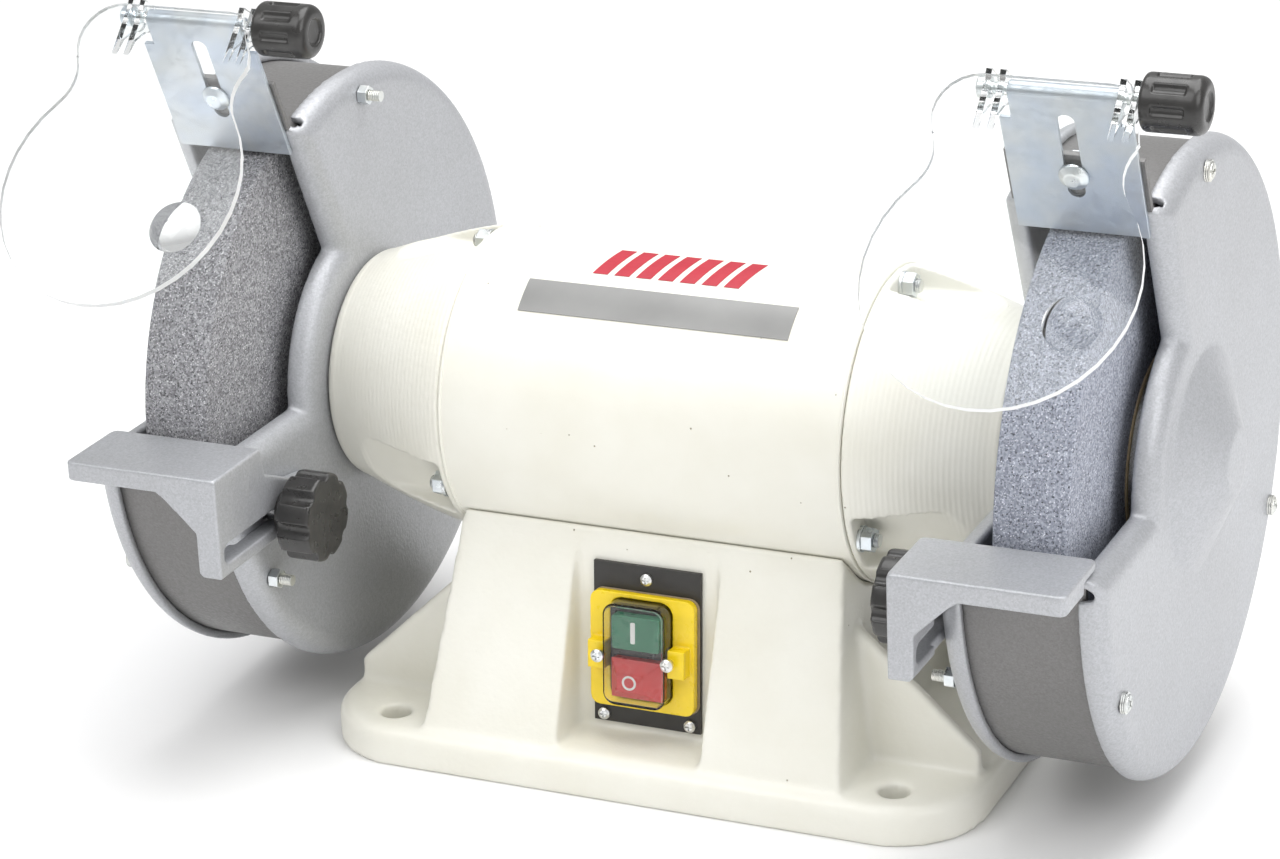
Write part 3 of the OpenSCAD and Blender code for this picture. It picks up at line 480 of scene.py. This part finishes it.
def wheels():
    """Each wheel turned afresh, with its corners dressed and enough faces to read as round."""
    bore_r, corner = 0.016, 0.0013
    dressed = [(0, corner), (corner * 0.3, corner * 0.3), (corner, 0)]
    for side, s in SIDES.items():
        inner, outer = s * WHEEL_IN, s * WHEEL_OUT
        profile = [(inner, bore_r)]
        profile += [(inner + s * along, WHEEL_R - down) for along, down in dressed]
        profile += [(outer - s * along, WHEEL_R - down) for along, down in reversed(dressed)]
        profile += [(outer, bore_r)]
        wheel = turned(side + "_wheel_dressed", profile, 240, "rotor", side + "_grit")
        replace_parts(wheel, side + "_wheel")


def seam_beads():
    """The thin raised lip where each end bell meets the housing."""
    half_width, half_height, set_in = 0.0007, 0.0005, 0.0008
    for side, s in SIDES.items():
        middle = s * (HOUSING_END - set_in)
        profile = [(middle + half_width * x, HOUSING_R + half_height * y) for x, y in circle(1, 12)]
        turned(side + "_seam_bead", profile, 192, "frame", "smooth_cream")


def shields():
    """Each eye shield again, with the cut edge of its sheet frosted."""
    for side in SIDES:
        node = side + "_eye_shield"
        mesh = NODES[node].data.copy()
        mesh.name = side + "_shield_sheet"
        by_size = sorted(mesh.polygons, key=lambda p: -p.area)
        across = by_size[0].normal.copy()
        front = by_size[0].center.dot(across)
        back = next(p for p in by_size if p.normal.dot(across) < -0.99).center.dot(across)
        middle, reach = (front + back) / 2, abs(front - back) / 2 + 0.0001
        sheet = new_piece(mesh.name, mesh, side + "_shield", "clear_plastic")
        mesh.materials.append(FINISHES["frosted_edge"].mat)
        for p in mesh.polygons:
            in_sheet = abs(p.center.dot(across) - middle) < reach
            edge_on = abs(p.normal.dot(across)) < 0.2
            p.material_index = int(in_sheet and edge_on)
        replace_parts(sheet, node)


def emblem():
    """A row of plain slanted bars where a maker would print a name, wrapped on the housing."""
    bars, pitch, width, lean = 7, 0.0105, 0.0072, 0.0062
    low, high, steps = 67.0, 83.0, 8
    under, over = HOUSING_R + 0.0001, HOUSING_R + 0.00025
    for i in range(bars):
        bm = bmesh.new()
        rungs = []
        for k in range(steps + 1):
            a = math.radians(low + (high - low) * k / steps)
            x = (i - bars / 2) * pitch + lean * k / steps
            section = ((under, x), (over, x), (over, x + width), (under, x + width))
            rungs.append([bm.verts.new((across, -r * math.cos(a), SHAFT_Z + r * math.sin(a)))
                          for r, across in section])
        for here, after in zip(rungs, rungs[1:]):
            strip(bm, here, after)
        bm.faces.new(rungs[0])
        bm.faces.new(rungs[-1])
        name = f"emblem_bar_{i + 1}"
        new_piece(name, closed_mesh(name, bm), "frame", "red_mark")


def button_front(node):
    """Axes on the front of a button: X right, Y up the switch wall, Z out of it."""
    out = -Vector(next(j for j in frame["joints"] if j["child"] == node)["axis"])
    low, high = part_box(node)
    centre = (low + high) / 2
    up = Vector((1, 0, 0)).cross(-out)
    origin = centre + out * max((v.co - centre).dot(out) for v in NODES[node].data.vertices)
    return Matrix(((1, up.x, out.x, origin.x), (0, up.y, out.y, origin.y),
                   (0, up.z, out.z, origin.z), (0, 0, 0, 1)))


def mark(name, node, outer, inner, place):
    """A raised white mark on a button, between two outlines of (x, y), or a filled one."""
    depths = (-0.0003, 0.00025)
    at = button_front(node) @ Matrix.Translation((*place, 0))
    bm = bmesh.new()
    loops = [[bm.verts.new(at @ Vector((x, y, z))) for x, y in points]
             for points in (outer, inner) if points for z in depths]
    strip(bm, loops[0], loops[1])
    if inner:
        strip(bm, loops[2], loops[3])
        strip(bm, loops[1], loops[3])
        strip(bm, loops[0], loops[2])
    else:
        bm.faces.new(loops[1])
        bm.faces.new(loops[0])
    new_piece(name, closed_mesh(name, bm), BODY_OF[node], "white_mark")


def button_marks():
    """The usual I on the start button and O on the stop button."""
    half_w, half_h, r = 0.0011, 0.0050, 0.0006
    bar = []
    for quarter, (s, t) in enumerate(((1, 1), (-1, 1), (-1, -1), (1, -1))):
        turns = [math.radians(90 * quarter + 30 * k) for k in range(4)]
        bar += [(s * (half_w - r) + r * math.cos(a), t * (half_h - r) + r * math.sin(a)) for a in turns]
    mark("start_mark", "start_button", bar, None, (-0.0012, 0))
    mark("stop_mark", "stop_button", circle(0.0034, 48), circle(0.0024, 48), (-0.0024, -0.0010))


for name, node in NODES.items():
    dress(node, SPECIAL.get(name, SLOT_OF[name]))
broken_edges()
mouldings()
castings()
wheels()
seam_beads()
shields()
emblem()
button_marks()


# ---- floor, light and camera ----

def floor():
    bpy.ops.mesh.primitive_plane_add(size=12, location=(0, 2.0, 0))
    plane = bpy.context.object
    plane.name = "floor"
    f = Finish("floor", (0.90, 0.90, 0.90), 0.6)
    f.colour(f.mix(f.noise(0.4, 2), (0.885, 0.885, 0.885), (0.91, 0.91, 0.91)))
    plane.data.materials.append(f.mat)


def area_light(name, place, size, power):
    """A soft box that shines on the middle of the grinder."""
    middle = Vector((0, 0, 0.18))
    data = bpy.data.lights.new(name, "AREA")
    data.shape = "RECTANGLE"
    data.size, data.size_y = size
    data.energy = power
    light = bpy.data.objects.new(name, data)
    bpy.context.scene.collection.objects.link(light)
    light.location = place
    light.rotation_mode = "QUATERNION"
    light.rotation_quaternion = (middle - Vector(place)).to_track_quat("-Z", "Y")


def lights():
    area_light("key", (-0.8, -1.5, 2.1), (1.8, 1.4), 22)
    area_light("top", (0.3, 0.3, 2.3), (2.4, 1.8), 55)
    area_light("fill", (2.1, -0.9, 1.5), (1.6, 1.6), 21)
    world = bpy.data.worlds.new("studio")
    world.use_nodes = True
    sky = world.node_tree.nodes["Background"]
    sky.inputs["Color"].default_value = (1, 1, 1, 1)
    sky.inputs["Strength"].default_value = 0.56
    bpy.context.scene.world = world
    bpy.context.scene.view_settings.view_transform = "Standard"


def camera():
    """A long lens from the right, above and in front."""
    azimuth, elevation, roll = (math.radians(x) for x in (24.85, 21.14, -2.39))
    back = Vector((math.sin(azimuth) * math.cos(elevation), -math.cos(azimuth) * math.cos(elevation),
                   math.sin(elevation)))
    level = Vector((math.cos(azimuth), math.sin(azimuth), 0))
    rise = back.cross(level)
    right = level * math.cos(roll) + rise * math.sin(roll)
    up = rise * math.cos(roll) - level * math.sin(roll)
    data = bpy.data.cameras.new("camera")
    data.sensor_width = 36
    data.lens = 107.7
    data.clip_start, data.clip_end = 0.05, 50
    cam = bpy.data.objects.new("camera", data)
    bpy.context.scene.collection.objects.link(cam)
    place = Matrix((right, up, back)).transposed().to_4x4()
    place.translation = (0.6564, -1.4814, 0.7698)
    cam.matrix_world = place
    bpy.context.scene.camera = cam


floor()
lights()
camera()
